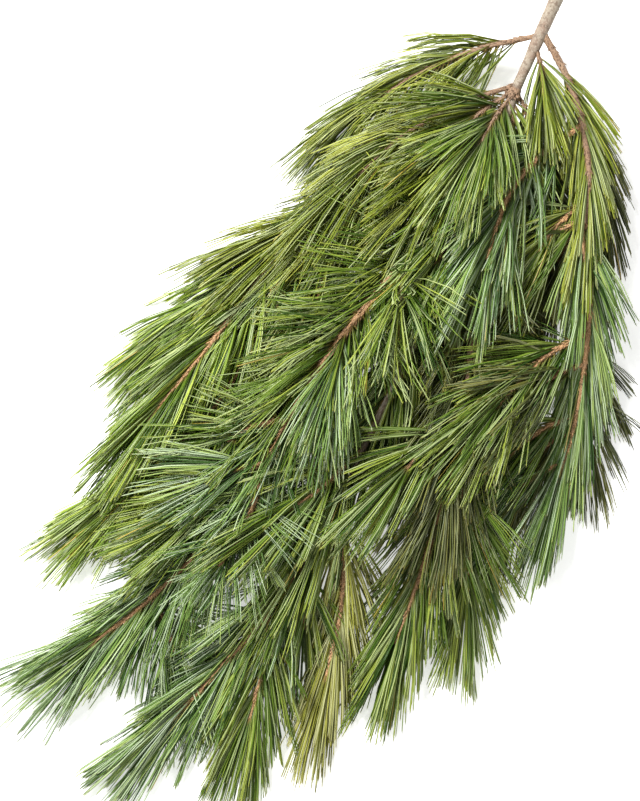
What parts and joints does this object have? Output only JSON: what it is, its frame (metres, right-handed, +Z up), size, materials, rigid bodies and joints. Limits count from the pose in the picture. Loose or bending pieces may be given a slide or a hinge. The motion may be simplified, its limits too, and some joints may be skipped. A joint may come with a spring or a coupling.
{
  "type": "pine branch",
  "caption": "Cut bough of a long-needled pine lying on its side: a bare stem that forks into limbs and shoots, thickly covered with soft needles swept towards the tips.",
  "frame": {"origin": "on the surface that the bough lies on, under the middle of its bounding box", "axes": "+Y along the bough towards the cut end of its stem, +Z up from the surface, +X across the bough, to the right when it is seen from above with the cut end at the top"},
  "size_m": [0.3978, 0.7248, 0.1029],
  "materials": {
    "bark": "matte",
    "twig_bark": "matte",
    "needles_olive": "satin",
    "needles_green": "satin"
  },
  "bodies": {
    "root": {"cut_stem_wood": "bark", "main_wood": "bark", "leader_twig": "twig_bark", "first_left_twig": "twig_bark", "second_left_twig": "twig_bark", "collar_twig": "twig_bark", "left_limb_twig": "twig_bark", "left_edge_twig": "twig_bark", "left_middle_twig": "twig_bark", "left_outer_twig": "twig_bark", "left_inner_twig": "twig_bark", "front_limb_twig": "twig_bark", "front_outer_twig": "twig_bark", "front_side_twig": "twig_bark", "front_spur_twig": "twig_bark", "upper_side_twig": "twig_bark", "lower_spur_twig": "twig_bark", "lower_side_twig": "twig_bark", "long_side_twig": "twig_bark", "centre_limb_twig": "twig_bark", "centre_outer_twig": "twig_bark", "centre_inner_twig": "twig_bark", "centre_side_twig": "twig_bark", "right_limb_twig": "twig_bark", "right_outer_twig": "twig_bark", "right_front_twig": "twig_bark", "right_edge_twig": "twig_bark", "right_inner_twig": "twig_bark", "right_spur_twig": "twig_bark", "right_low_spur_twig": "twig_bark", "centre_inner_needles": "needles_green", "right_front_needles": "needles_green", "front_limb_needles": "needles_green", "right_inner_needles": "needles_green", "front_side_needles": "needles_green", "upper_side_needles": "needles_green", "centre_limb_needles": "needles_green", "second_left_needles": "needles_olive", "right_limb_needles": "needles_olive", "collar_needles": "needles_olive", "main_needles": "needles_green", "left_middle_needles": "needles_green", "front_outer_needles": "needles_green", "left_limb_needles": "needles_olive", "centre_outer_needles": "needles_green", "right_outer_needles": "needles_green", "centre_side_needles": "needles_green", "lower_spur_needles": "needles_green", "right_spur_needles": "needles_green", "leader_needles": "needles_green", "long_side_needles": "needles_olive", "left_edge_needles": "needles_green", "lower_side_needles": "needles_green", "left_inner_needles": "needles_green", "left_outer_needles": "needles_green", "right_edge_needles": "needles_olive", "right_low_spur_needles": "needles_green", "first_left_needles": "needles_olive", "front_spur_needles": "needles_green"}
  },
  "joints": []
}
